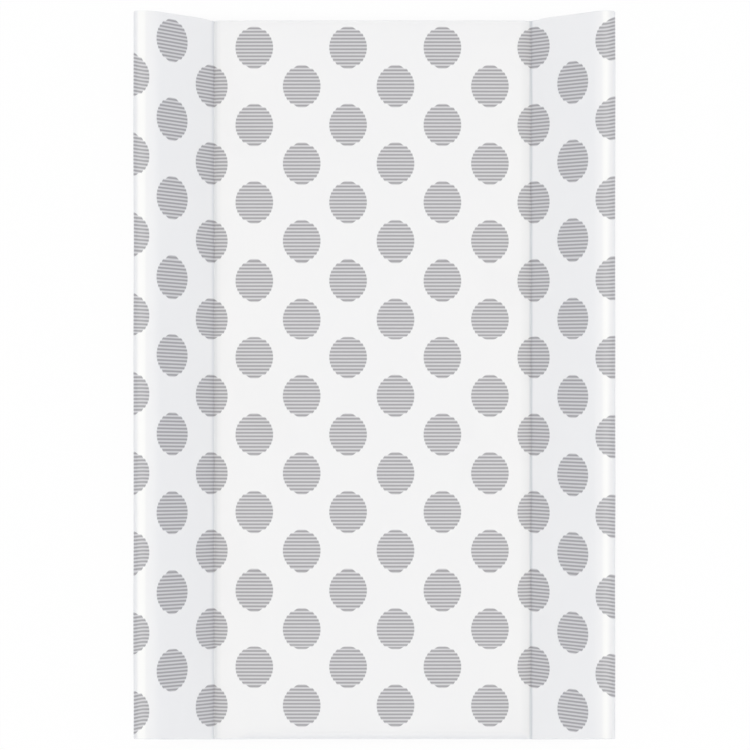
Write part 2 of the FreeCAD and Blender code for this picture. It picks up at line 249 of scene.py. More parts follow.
@dataclass(frozen=True, kw_only=True)
class PrintedFilm(Finish):
    """Calendered PVC film with a gravure print and a clear lacquer.

    The lacquer gives a low soft gloss, a painted highlight makes the film and its print whiter along the
    crests, painted shade makes the film greyer in the creases and beside them on the mat, the print is a flat
    mid grey whose dots are barred and tinted ovals, and the fine emboss of the rollers breaks the gloss on the
    flat of the mat.
    """

    white: str = "#F5F5F5"
    white_shade: str = "#F2F2F3"
    # Painted highlight: the white that the film is given along the crests, in place of a gloss highlight.
    painted_highlight_white: str = "#FDFDFB"
    # Painted shade: the grey that the film is given in the creases and beside them on the mat.
    painted_crease_shade: str = "#D6DBE0"
    ink: str = "#A2A1A4"
    ink_tint: str = "#D3D2D5"
    cloud: Grain = Grain(Pattern.CLOUDS, 70.0, detail=3.0)
    gloss_swing: float = 0.03
    column_pitch: float = 102.2
    row_pitch: float = 84.1
    first_column: float = -28.6
    first_row: float = 361.35
    rows: int = 9
    dot_width: float = 41.1
    dot_height: float = 45.0
    dot_edge: tuple[float, float] = (0.985, 1.005)
    bars_per_row_pitch: int = 22
    bar_share: float = 0.5
    bar_edge: float = 0.03
    # How far the painted highlight pales the dots along the crests.
    painted_highlight_ink_paleness: float = 0.05
    # Share of the painted crease shade that the dots leave out.
    crease_shade_cover: float = 0.62
    lacquer: float = 0.6
    lacquer_roughness: float = 0.22
    lacquer_ior: float = 1.48
    # The rollers' grain is about 0.5 mm; it is drawn at 1.4 mm so that it shows in a render.
    emboss_size: float = 1.4
    emboss_smoothness: float = 0.7
    strength: float = 0.05
    depth: float = 0.15

    def dress(self, tree: Tree) -> dict[str, Feed]:
        """Prints the barred dots on the white film, lacquers and embosses it.

        Args:
            tree: Node tree of the material.

        Returns:
            What the shader's inputs get.
        """
        place = add_node(tree, "Attribute", attribute_name=UNFOLDED).outputs["Vector"]
        # Shares of painted highlight along the crests and of painted shade in and beside the creases.
        crest = add_node(tree, "Attribute", attribute_name=PAINTED_HIGHLIGHT_SHARE).outputs["Fac"]
        weld = add_node(tree, "Attribute", attribute_name=CREASE_SHADE_SHARE).outputs["Fac"]
        across, along, _ = add_node(tree, "SeparateXYZ", place).outputs
        pitch = self.row_pitch * MM / self.bars_per_row_pitch
        # The bars are counted along the board, from the middle of the first row of dots.
        count = add_node(tree, "Math", along, 1.0 / pitch, -self.first_row * MM / pitch, operation="MULTIPLY_ADD")
        dots, bars = self.dot_mask(tree, across, count), self.bar_mask(tree, count)
        cloud = self.cloud.draw(tree, place)
        film = add_node(tree, "Mix", cloud, self.white, self.white_shade, **COLOURS)
        # Painted highlight: the film is made whiter along the crests.
        drawn = add_node(tree, "Mix", crest, film, self.painted_highlight_white, **COLOURS)
        ink = add_node(tree, "Mix", bars, self.ink_tint, self.ink, **COLOURS)
        # The painted highlight also pales the dots along the crests.
        pale = add_node(tree, "Math", crest, -self.painted_highlight_ink_paleness, 1.0, operation="MULTIPLY_ADD")
        inked = add_node(tree, "Math", dots, pale, operation="MULTIPLY")
        printed = add_node(tree, "Mix", inked, drawn, ink, **COLOURS)
        # Painted crease shade, held back under the dots, greys the printed film in and beside the creases.
        bare = add_node(tree, "Math", dots, -self.crease_shade_cover, 1.0, operation="MULTIPLY_ADD")
        crease_shade_amount = add_node(tree, "Math", weld, bare, operation="MULTIPLY")
        painted_shade = add_node(tree, "Mix", crease_shade_amount, printed, self.painted_crease_shade, blend_type="MULTIPLY", **COLOURS)
        rollers = {"Scale": per_metre(self.emboss_size), "Smoothness": self.emboss_smoothness}
        relief = self.raised(tree, add_node(tree, "TexVoronoi", feature="SMOOTH_F1", Vector=place, **rollers))
        return {
            "Base Color": painted_shade, "Roughness": self.clouded(tree, cloud), "Normal": relief, "Coat Normal": relief,
            "Coat Weight": self.lacquer, "Coat Roughness": self.lacquer_roughness, "Coat IOR": self.lacquer_ior,
        }

    def dot_mask(self, tree: Tree, across: Socket, count: Node) -> Node:
        """Marks the dots of both sets of columns, whose rows are half a pitch apart.

        A dot is an oval whose outline steps a little from bar to bar: the ends of a bar lean half as far as
        the oval.

        Args:
            tree: Node tree of the material.
            across: Coordinate across the board on the unfolded film.
            count: Count of the bars.

        Returns:
            Node that is 1 in a dot and 0 elsewhere.
        """
        half_column = self.column_pitch * MM / 2
        half_row = self.bars_per_row_pitch / 2
        half_width = self.dot_width * MM / 2
        rise = self.row_pitch / self.bars_per_row_pitch / (self.dot_height / 2)
        reach = (self.rows - 1) * half_row
        masks = []
        for offset in (0.0, 0.5):
            centre = (self.first_column + offset * self.column_pitch) * MM
            aside = add_node(tree, "Math", across, centre + half_column, centre - half_column, operation="WRAP")
            row = add_node(tree, "Math", count, offset * self.bars_per_row_pitch, operation="ADD")
            from_middle = add_node(tree, "Math", row, half_row, -half_row, operation="WRAP")
            bar = add_node(tree, "Math", from_middle, operation="FLOOR")
            leaning = add_node(tree, "Math", from_middle, bar, operation="ADD")
            in_dot = add_node(tree, "CombineXYZ", aside, leaning)
            oval = (1.0 / half_width, rise / 2, 0.0), (-centre / half_width, rise / 4, 0.0)
            scaled = add_node(tree, "VectorMath", in_dot, *oval, operation="MULTIPLY_ADD")
            length = add_node(tree, "VectorMath", scaled, operation="LENGTH")
            inside = add_node(tree, "MapRange", length, *self.dot_edge, 1.0, 0.0)
            in_rows = add_node(tree, "Math", row, -reach, reach + half_row, operation="COMPARE")
            masks.append(add_node(tree, "Math", inside, in_rows, operation="MULTIPLY"))
        return add_node(tree, "Math", *masks, operation="MAXIMUM")

    def bar_mask(self, tree: Tree, count: Node) -> Node:
        """Marks the dark bars, which lie across the board.

        Args:
            tree: Node tree of the material.
            count: Count of the bars.

        Returns:
            Node that is 1 in a dark bar and 0 between two.
        """
        part = add_node(tree, "Math", count, operation="FRACT")
        middle = add_node(tree, "Math", part, 0.5, operation="SUBTRACT")
        away = add_node(tree, "Math", middle, operation="ABSOLUTE")
        half = self.bar_share / 2
        return add_node(tree, "MapRange", away, half - self.bar_edge, half + self.bar_edge, 1.0, 0.0)


@dataclass(frozen=True, kw_only=True)
class GrainedFinish(Finish):
    """A surface whose grain mixes two colours, and which may have relief and uneven gloss."""

    low: str
    high: str
    tint: Grain
    relief: Grain | None = None

    def dress(self, tree: Tree) -> dict[str, Feed]:
        """Tints the surface with its grain and gives it its relief and gloss.

        Args:
            tree: Node tree of the material.

        Returns:
            What the shader's inputs get.
        """
        place = add_node(tree, "TexCoord").outputs["Object"]
        tint = self.tint.draw(tree, place)
        given = {"Base Color": add_node(tree, "Mix", tint, self.low, self.high, **COLOURS)}
        if self.relief is not None:
            height = tint if self.relief == self.tint else self.relief.draw(tree, place)
            given["Normal"] = self.raised(tree, height)
        if self.gloss_swing:
            given["Roughness"] = self.clouded(tree, tint)
        return given


@dataclass(frozen=True, kw_only=True)
class PointBondedCloth(Finish):
    """Spun polypropylene cloth, bonded in a lattice of hot points: pale, dull and finely dimpled."""

    pale: str = "#DEDEDD"
    thin: str = "#C6C7C8"
    # Real bonds are 1 to 1.5 mm apart; they are drawn 2.4 mm apart so that they show in a render.
    bond_pitch: float = 2.4
    bond_edge: tuple[float, float] = (0.33, 0.77)
    lattice_turn: float = 45.0
    fibre_size: float = 4.0
    fibre_height: float = 0.3
    thin_band: tuple[float, float] = (0.35, 0.65)
    strength: float = 0.45
    depth: float = 0.3

    def dress(self, tree: Tree) -> dict[str, Feed]:
        """Dimples the cloth at its bonds and clouds it where the fibres lie thin.

        Args:
            tree: Node tree of the material.

        Returns:
            What the shader's inputs get.
        """
        place = add_node(tree, "TexCoord").outputs["Object"]
        turn = (0.0, 0.0, math.radians(self.lattice_turn))
        turned = add_node(tree, "Mapping", Vector=place, Rotation=turn, Scale=(1.0, 1.0, 0.0))
        half = self.bond_pitch * MM / 2
        wrapped = add_node(tree, "VectorMath", turned, (half, half, 1.0), (-half, -half, -1.0), operation="WRAP")
        from_bond = add_node(tree, "VectorMath", wrapped, operation="LENGTH")
        raised = add_node(tree, "MapRange", from_bond, *(edge * MM for edge in self.bond_edge))
        web = {"Scale": per_metre(self.fibre_size), "Detail": 6.0, "Roughness": 0.65, "Distortion": 1.5}
        fibres = add_node(tree, "TexNoise", Vector=place, **web)
        clouds = add_node(tree, "MapRange", fibres, *self.thin_band)
        height = add_node(tree, "Math", fibres, self.fibre_height, raised, operation="MULTIPLY_ADD")
        colour = add_node(tree, "Mix", clouds, self.thin, self.pale, **COLOURS)
        return {"Base Color": colour, "Normal": self.raised(tree, height)}


@dataclass(frozen=True, kw_only=True)
class PlanedPine(Finish):
    """Planed and oiled pine: pale early wood between darker rings, with a low gloss along the grain."""

    early: str = "#E3C696"
    late: str = "#B98A52"
    ring: float = 3.4
    late_share: tuple[float, float] = (0.35, 0.95)
    heart: tuple[float, float, float] = (0.0, 20.0, -45.0)
    waver: float = 12.0
    waver_grain: Grain = Grain(Pattern.CLOUDS, 22.0)
    waver_stretch: float = 0.06
    # Pores and fibres are finer than 0.1 mm; the streaks stand for them at 0.9 mm.
    streaks: Grain = Grain(Pattern.CLOUDS, 0.9, detail=3.0)
    streak_stretch: float = 0.03
    gloss_swing: float = -0.06
    gloss_band: tuple[float, float] = (0.0, 1.0)
    strength: float = 0.2
    depth: float = 0.2

    def dress(self, tree: Tree) -> dict[str, Feed]:
        """Cuts the battens from a trunk whose heart lies below and beside them.

        Args:
            tree: Node tree of the material.

        Returns:
            What the shader's inputs get.
        """
        place = add_node(tree, "TexCoord").outputs["Object"]
        trunk = add_node(tree, "Mapping", Vector=place, Scale=(self.waver_stretch, 1.0, 1.0))
        waver = self.waver_grain.draw(tree, trunk).outputs["Color"]
        sway = (0.0, self.waver * MM, self.waver * MM)
        moved = add_node(tree, "VectorMath", waver, sway, trunk, operation="MULTIPLY_ADD")
        heart = tuple(length * MM for length in self.heart)
        from_heart = add_node(tree, "VectorMath", moved, heart, operation="SUBTRACT")
        flat = add_node(tree, "VectorMath", from_heart, (0.0, 1.0, 1.0), operation="MULTIPLY")
        radius = add_node(tree, "VectorMath", flat, operation="LENGTH")
        rings = add_node(tree, "Math", radius, per_metre(self.ring), operation="MULTIPLY")
        part = add_node(tree, "Math", rings, operation="FRACT")
        late = add_node(tree, "MapRange", part, *self.late_share, interpolation_type="SMOOTHSTEP")
        drawn_out = add_node(tree, "Mapping", Vector=place, Scale=(self.streak_stretch, 1.0, 1.0))
        streaks = self.streaks.draw(tree, drawn_out)
        share = add_node(tree, "Math", late, streaks, operation="MULTIPLY")
        colour = add_node(tree, "Mix", share, self.early, self.late, **COLOURS)
        return {
            "Base Color": colour, "Roughness": self.clouded(tree, late), "Normal": self.raised(tree, streaks),
        }


PRINTED_FILM = PrintedFilm(name="pvc_film_printed_lacquered", roughness=0.34, ior=1.53)
# Plain PVC strip, calendered and welded: smooth, white, a little duller than the lacquered film, and dimpled
# by the welding tool.
STRIP_FILM = GrainedFinish(
    name="pvc_strip_welded", roughness=0.5, ior=1.53, low="#EDEDED", high="#E4E4E5",
    tint=Grain(Pattern.CLOUDS, 30.0), relief=Grain(Pattern.CELLS, 2.5), strength=0.2, depth=0.2,
)
# Open-cell polyurethane foam cut on a saw: cream, dull and pitted by the cells. The cells are about 0.6 mm;
# they are drawn at 1.6 mm so that they show in a render.
CUT_FOAM = GrainedFinish(
    name="polyurethane_foam_cut", roughness=0.95, ior=1.4, low="#D8CDAC", high="#F1E9D0", sheen=0.15,
    tint=Grain(Pattern.CELLS, 1.6), relief=Grain(Pattern.CELLS, 1.6), strength=0.6, depth=0.8,
)
# Medium-density fibreboard, pressed and sanded: even brown felt of fibres with a dull face. The fibres are
# about 0.3 mm; they are drawn at 1.2 mm so that they show in a render.
FIBREBOARD = GrainedFinish(
    name="fibreboard_sanded", roughness=0.75, ior=1.5, low="#B08B62", high="#8F6C48", strength=0.25, depth=0.3,
    tint=Grain(Pattern.CLOUDS, 1.2, 4.0, 0.7), relief=Grain(Pattern.CLOUDS, 1.2, 4.0, 0.7),
)
BONDED_CLOTH = PointBondedCloth(name="polypropylene_cloth_point_bonded", roughness=0.85, ior=1.49, sheen=0.2)
PINE = PlanedPine(name="pine_planed_oiled", roughness=0.5, ior=1.52)
# Steel with bright zinc from a plating bath: cool grey metal, with a faint uneven bloom.
STAPLE_WIRE = GrainedFinish(
    name="steel_wire_galvanised", roughness=0.4, metallic=1.0, low="#C9CCD0", high="#A9ACB0",
    tint=Grain(Pattern.CLOUDS, 1.5, 4.0), gloss_swing=0.08,
)
SCREW_STEEL = GrainedFinish(
    name="steel_screw_zinc_plated", roughness=0.32, metallic=1.0, low="#D2D3D2", high="#A9ACB0",
    tint=Grain(Pattern.CLOUDS, 3.0, 4.0), gloss_swing=0.08,
)
# Natural rubber pressed in an eroded mould: near black, dull, with a fine even grain and a grey bloom.
RUBBER = GrainedFinish(
    name="rubber_moulded", roughness=0.75, ior=1.52, low="#2A2A2B", high="#3A3A3C",
    tint=Grain(Pattern.CLOUDS, 6.0, 3.0), relief=Grain(Pattern.CLOUDS, 0.6), strength=0.3, depth=0.2,
)


def make_piece(name: str, points: np.ndarray, faces: Faces, finish: Finish) -> Piece:
    """Makes a smooth mesh from points in millimetres, leaving out the points that no face uses.

    Args:
        name: Name of the piece.
        points: Corners (n, 3), or (n, 7) where each ends in its place on the unfolded film and in its shares of
        painted highlight along a crest and painted shade in a crease.
        faces: Corner numbers of each face.
        finish: What the piece is made of.

    Returns:
        The new object, which rides on the board.
    """
    used = sorted({corner for face in faces for corner in face})
    number = {corner: place for place, corner in enumerate(used)}
    kept = points[used]
    mesh = bpy.data.meshes.new(name)
    mesh.from_pydata((kept[:, :3] * MM).tolist(), [], [tuple(number[corner] for corner in face) for face in faces])
    if kept.shape[1] == 7:
        flat = np.column_stack([kept[:, 3:5] * MM, np.zeros(len(kept))]).astype(np.float32)
        mesh.attributes.new(UNFOLDED, "FLOAT_VECTOR", "POINT").data.foreach_set("vector", flat.ravel())
        for share, column in ((PAINTED_HIGHLIGHT_SHARE, 5), (CREASE_SHADE_SHARE, 6)):
            values = kept[:, column].astype(np.float32)
            mesh.attributes.new(share, "FLOAT", "POINT").data.foreach_set("value", values)
    mesh.polygons.foreach_set("use_smooth", [True] * len(mesh.polygons))
    mesh.materials.append(finish.material())
    mesh.update()
    piece = bpy.data.objects.new(name, mesh)
    bpy.context.scene.collection.objects.link(piece)
    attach(piece, "root")
    return piece


def thicken(piece: Piece, thickness: float, side: float = -1.0) -> None:
    """Gives a sheet its thickness in millimetres.

    Args:
        piece: The sheet.
        thickness: Its thickness.
        side: Which side it grows to, from -1 behind its faces to 1 in front of them.
    """
    solid = piece.modifiers.new("thickness", "SOLIDIFY")
    solid.thickness = thickness * MM
    solid.offset = side


@dataclass(frozen=True)
class BoardSizes:
    """Sizes that the padded pieces share, in millimetres."""

    half_width: float = 256.1
    base: float = 21.4
    mat: float = 53.0
    crest: float = 101.0
    head: float = 392.0
    head_set_back: float = 1.15
    # Below the mat's face where the waist begins and is full, and above it where it ends.
    head_waist: tuple[float, float, float] = (18.0, 6.0, 9.0)
    foot: float = -391.8
    foot_lean: float = 0.2057
    foot_upright: float = 9.0
    crease_left: float = 174.4
    crease_right: float = 170.1
    crease_depth: float = 2.6
    crease_lift: float = 1.0
    crease_lift_run: float = 1.3
    crease_roll: float = 13.0
    crease_steepness: float = 2.6
    mat_crown: float = 0.8
    crest_run_left: float = 10.4
    crest_run_right: float = 7.6
    crest_flat: float = 3.0
    crest_outer_radius: float = 7.0
    under_radius: float = 4.5
    mat_points: int = 31
    roll_shares: tuple[float, ...] = (0.0, 0.14, 0.28, 0.42, 0.55, 0.67, 0.77, 0.85, 0.91, 0.955, 0.985)
    wing_foot: tuple[float, ...] = (0.0, 0.25, 0.6, 1.1, 1.8, 2.8, 4.2, 6.2)
    slope_points: int = 16
    crest_points: int = 10
    edge_points: int = 11

    def crease(self, hand: Hand) -> float:
        """Distance of a crease from the board's middle."""
        return self.crease_left if hand is Hand.LEFT else self.crease_right

    def crest_run(self, hand: Hand) -> float:
        """Run of the rounding between a wing's slope and its crest."""
        return self.crest_run_left if hand is Hand.LEFT else self.crest_run_right

    def end(self, end: End, z: np.ndarray) -> np.ndarray:
        """Y of the end faces: upright, drawn in a little at the mat's head edge and cut back above its foot edge.

        Args:
            end: Head or foot.
            z: Heights.

        Returns:
            One Y for each height.
        """
        if end is End.HEAD:
            start, full, over = self.head_waist
            drawn_in = ease(self.mat - start, self.mat - full, z) * (1.0 - ease(self.mat, self.mat + over, z))
            return self.head - self.head_set_back * drawn_in
        return self.foot + self.foot_lean * np.maximum(z - self.mat + self.foot_upright, 0.0)

    def half_top(self, hand: Hand) -> np.ndarray:
        """Upper face of the film from the mat's middle over one wing, drawn to the right.

        Args:
            hand: Which wing.

        Returns:
            Points (n, 2) as distance from the middle and height.
        """
        crease, run = self.crease(hand), self.crest_run(hand)
        edge = crease - self.crease_roll
        mat_x = np.linspace(0.0, edge, self.mat_points)[:-1]
        mat = np.column_stack([mat_x, self.mat + self.mat_crown * (1.0 - (mat_x / edge) ** 2)])
        share = np.array(self.roll_shares)
        roll_z = self.mat - self.crease_depth * share**self.crease_steepness
        roll = np.column_stack([edge + self.crease_roll * share, roll_z])
        line = self.mat - self.crease_depth + self.crease_lift
        corner = self.half_width - self.crest_outer_radius - self.crest_flat - run
        slope = math.atan2(self.crest - line, corner - crease)
        inner = run / math.tan(slope / 2)
        tangent = corner + run - inner * math.sin(slope)
        near = crease + np.array(self.wing_foot)
        wing_x = np.concatenate([near, np.linspace(near[-1], tangent, self.slope_points)[1:-1]])
        sunk = self.crease_lift * np.exp(-(wing_x - crease) / self.crease_lift_run)
        wing = np.column_stack([wing_x, line + (wing_x - crease) * math.tan(slope) - sunk])
        turn = np.linspace(slope, 0.0, self.crest_points)
        rise = np.column_stack([
            corner + run - inner * np.sin(turn),
            self.crest - inner + inner * np.cos(turn),
        ])
        turn = np.linspace(0.0, math.pi / 2, self.edge_points)
        fall = np.column_stack([
            self.half_width - self.crest_outer_radius * (1.0 - np.sin(turn)),
            self.crest - self.crest_outer_radius * (1.0 - np.cos(turn)),
        ])
        return np.concatenate([mat, roll, wing, rise, fall])


@dataclass
class SweptForm:
    """A form with one cross-section along the board and rolled edges at both ends, in millimetres.

    The cross-section lies in X and Z. Its left and right sides run upwards, its top and bottom to the right,
    and top and bottom have as many points as each other, as have left and right.
    """

    left: np.ndarray
    top: np.ndarray
    right: np.ndarray
    bottom: np.ndarray
    stations: np.ndarray
    sizes: BoardSizes
    clearance: float = 0.0
    roll_steps: int = 6
    swell_fade: float = 0.03

    def outline(self) -> np.ndarray:
        """Returns the cross-section's points once round, from the lower left corner upwards."""
        return np.concatenate([self.left[:-1], self.top[:-1], self.right[:0:-1], self.bottom[:0:-1]])

    def inward(self) -> np.ndarray:
        """Finds the directions into the form.

        Returns:
            Unit vectors (n, 2), one at each point of the cross-section.
        """
        outline = self.outline()
        step = np.roll(outline, -1, axis=0) - outline
        step = step / np.linalg.norm(step, axis=1, keepdims=True)
        side = np.column_stack([step[:, 1], -step[:, 0]])
        both = side + np.roll(side, 1, axis=0)
        return both / np.linalg.norm(both, axis=1, keepdims=True)

    def end_place(self, end: End, section: np.ndarray) -> np.ndarray:
        """Y of an end face, inside the film's by the clearance, at points (n, 2) of the cross-section."""
        return self.sizes.end(end, section[:, 1]) - end.value * self.clearance

    def end_roll(self, end: End, section: np.ndarray) -> np.ndarray:
        """Radius of the rolled end edge at points (n, 2) of the cross-section."""
        raise NotImplementedError

    def swell(self, section: np.ndarray, y: np.ndarray) -> np.ndarray:
        """How far the surface stands out at points (n, 2) of the cross-section and places along the board."""
        raise NotImplementedError

    def end_swell(self, x: np.ndarray, across: np.ndarray, up: np.ndarray) -> np.ndarray:
        """How far an end face bulges at places across the board and at shares of its width and height."""
        raise NotImplementedError

    def left_out(self, rings: int) -> np.ndarray:
        """Marks the faces between rings that are left out; none is unless a form says otherwise."""
        return np.zeros((rings - 1, len(self.outline())), bool)

    def rings(self) -> list[np.ndarray]:
        """Places the cross-section along the board, from the foot's end face to the head's.

        Returns:
            Points (n, 3) of each ring.
        """
        outline, inward = self.outline(), self.inward()
        rolled: dict[End, list[np.ndarray]] = {end: [] for end in End}
        for end in End:
            radius = self.end_roll(end, outline)
            for angle in np.linspace(0.0, math.pi / 2, self.roll_steps + 1)[1:]:
                moved = outline + inward * (radius * (1.0 - math.cos(angle)))[:, None]
                y = self.end_place(end, moved) - end.value * radius * (1.0 - math.sin(angle))
                rolled[end].append(np.column_stack([moved[:, 0], y, moved[:, 1]]))
        start, stop = (self.end_place(end, outline) - end.value * self.end_roll(end, outline) for end in End)
        straight = []
        for part in self.stations:
            y = start + (stop - start) * part
            fade = float(ease(0.0, self.swell_fade, np.array(min(part, 1.0 - part))))
            moved = outline - inward * (self.swell(outline, y) * fade)[:, None]
            straight.append(np.column_stack([moved[:, 0], y, moved[:, 1]]))
        return rolled[End.FOOT][::-1] + straight + rolled[End.HEAD]

    def end_face(self, ring: np.ndarray, end: End, start: int, first_new: int) -> tuple[np.ndarray, Faces]:
        """Fills an end face between the four sides of its ring.

        Args:
            ring: Points of the last ring at that end.
            end: Head or foot.
            start: Number of the ring's first point in the mesh.
            first_new: Number that the face's first inner point gets.

        Returns:
            The inner points and the faces.
        """
        rise, span = len(self.left), len(self.top)
        left, top = np.arange(0, rise), np.arange(rise - 1, rise + span - 1)
        right = np.arange(rise + span - 2, 2 * rise + span - 2)[::-1]
        bottom = np.arange(2 * rise + span - 3, 2 * rise + 2 * span - 3)[::-1] % len(ring)
        up = (np.arange(1, rise - 1) / (rise - 1))[:, None, None]
        across = (np.arange(1, span - 1) / (span - 1))[None, :, None]
        low, high = ring[bottom], ring[top]
        inner = (
            (1 - up) * low[None, 1:-1] + up * high[None, 1:-1]
            + (1 - across) * ring[left][1:-1, None] + across * ring[right][1:-1, None]
            - (1 - up) * ((1 - across) * low[0] + across * low[-1])
            - up * ((1 - across) * high[0] + across * high[-1])
        )
        bulge = self.end_swell(inner[:, :, 0], across[:, :, 0], up[:, :, 0])
        place = self.end_place(end, inner[:, :, [0, 2]].reshape(-1, 2)).reshape(bulge.shape)
        inner[:, :, 1] = place + end.value * bulge
        numbers = np.zeros((rise, span), int)
        numbers[:, 0], numbers[:, -1] = left + start, right + start
        numbers[0], numbers[-1] = bottom + start, top + start
        numbers[1:-1, 1:-1] = first_new + np.arange(bulge.size).reshape(bulge.shape)
        return inner.reshape(-1, 3), quads(numbers, end is End.HEAD)

    def surface(self) -> tuple[np.ndarray, Faces, int]:
        """Joins the rings and the end faces.

        Returns:
            The points (n, 3), the faces and the number of rings.
        """
        rings = self.rings()
        count, last = len(rings[0]), len(rings) - 1
        points = np.concatenate(rings)
        numbers = np.arange(len(points)).reshape(len(rings), count)
        around = quads(np.column_stack([numbers, numbers[:, 0]]))
        faces = [face for face, out in zip(around, self.left_out(len(rings)).ravel()) if not out]
        for end, ring in ((End.FOOT, 0), (End.HEAD, last)):
            inner, end_faces = self.end_face(rings[ring], end, ring * count, len(points))
            points = np.concatenate([points, inner])
            faces.extend(end_faces)
        return points, faces, len(rings)


@dataclass(frozen=True)
class Slack:
    """How far the film stands out between its staples and is pulled in at them, in millimetres."""

    upper: float = 0.16
    upper_wave: float = 150.0
    upper_band: tuple[float, float] = (6.0, 2.0)
    crease: float = 0.2
    crease_pitch: float = 60.0
    crease_reach: float = 6.0
    crest: float = 0.25
    crest_wave: float = 190.0
    crest_band: float = 12.0
    side: float = 0.5
    side_height: float = 78.0
    side_band: float = 2.0
    hem: float = 0.45
    hem_pitch: float = 50.0
    hem_reach: float = 16.0
    end: float = 0.9
    end_fullness: float = 0.5
    end_pull: float = 2.6
    end_pull_fade: float = 4.0


@dataclass(frozen=True)
class FilmSide:
    """How the film lies on one side of the board, with places in millimetres from the board's middle.

    It is drawn and shrunk by shares of its length. The painted crease shade is given by its share of grey, its
    reach up the wing and over the mat, and how far the painted shade beside it reaches over the mat.
    """

    mat_roll: tuple[float, float]
    dots: tuple[float, ...]
    crest_dot: float
    drawn: float
    shrink: float
    # From where to where across a crest the film gets its painted highlight.
    crest_band: tuple[float, float]
    # Painted crease shade: share of grey, reach up the wing, reach over the mat, reach of the painted shade beside
    # it.
    weld: tuple[float, float, float, float]


FILM_SIDES = {
    Hand.LEFT: FilmSide(
        mat_roll=(136.0, 152.0), dots=(159.2, 192.9, 200.9, 231.4), crest_dot=238.4, drawn=0.0428, shrink=0.0003,
        crest_band=(244.8, 249.8), weld=(0.38, 3.4, 6.2, 9.0),
    ),
    Hand.RIGHT: FilmSide(
        mat_roll=(158.0, 170.0), dots=(155.2, 189.3, 196.8, 227.6), crest_dot=234.4, drawn=-0.0058, shrink=0.0018,
        crest_band=(244.0, 247.4), weld=(0.7, 2.2, 2.7, 13.0),
    ),
}


@dataclass(frozen=True)
class CornerFold:
    """The film's spare width at an outer corner, folded flat against the end face and under the hem."""

    sizes: BoardSizes
    thickness: float
    rows: int = 15
    columns: int = 13
    lift_share: float = 0.8
    edge_share: float = 0.9
    gap: float = 0.05
    head_lift: float = 1.4
    foot_lift: float = 0.4
    top_lift_share: float = 0.12
    below_crest: float = 11.0
    above_base: float = 4.0
    from_side: float = 2.6
    top_width: float = 5.0
    widening: float = 19.0
    flare: float = 1.3
    under_inset: float = 5.0
    under_reach: float = 30.0
    under_width: float = 4.0
    under_widening: float = 14.0
    under_lift: float = 0.6

    def build(self, end: End, hand: Hand) -> Piece:
        """Makes the fold at one corner.

        Args:
            end: Head or foot.
            hand: Which corner.

        Returns:
            The fold.
        """
        sizes = self.sizes
        share = np.linspace(0.0, 1.0, self.columns)[None, :]
        down = (np.arange(self.rows) / (self.rows - 1))[:, None]
        turned_in = np.clip(1.0 - ((share - self.edge_share) / (1.0 - self.edge_share)) ** 2, 0.0, 1.0)
        lift = np.where(share < self.edge_share, ease(0.0, self.lift_share, share), np.sqrt(turned_in))
        high = sizes.crest - self.below_crest
        z = high - down * (high - sizes.base - self.above_base)
        most = self.head_lift if end is End.HEAD else self.foot_lift
        proud = self.gap + most * lift * (self.top_lift_share + (1.0 - self.top_lift_share) * down)
        x = sizes.half_width - self.from_side - (self.top_width + self.widening * down**self.flare) * share
        inwards = self.under_inset + self.under_reach * down
        under_x = sizes.half_width - inwards - (self.under_width + self.under_widening * down) * (1.0 - share)
        sides = (
            (x, sizes.end(end, z) + end.value * proud, z),
            (under_x, end.value * (sizes.head - inwards), sizes.base - self.gap - self.under_lift * lift),
        )
        points, faces = [], []
        for place, (across, along, height) in enumerate(sides):
            spot = np.broadcast_arrays(hand.value * across, along, height, 0.0, UNPRINTED, 0.0, 0.0)
            points.append(np.stack(spot, axis=-1).reshape(-1, 7))
            numbers = np.arange(self.rows * self.columns).reshape(self.rows, self.columns)
            faces += quads(numbers + place * numbers.size, (hand.value * end.value > 0) == (place == 0))
        name = f"film_fold_{end.name.lower()}_{hand.name.lower()}"
        fold = make_piece(name, np.concatenate(points), faces, PRINTED_FILM)
        thicken(fold, self.thickness)
        return fold


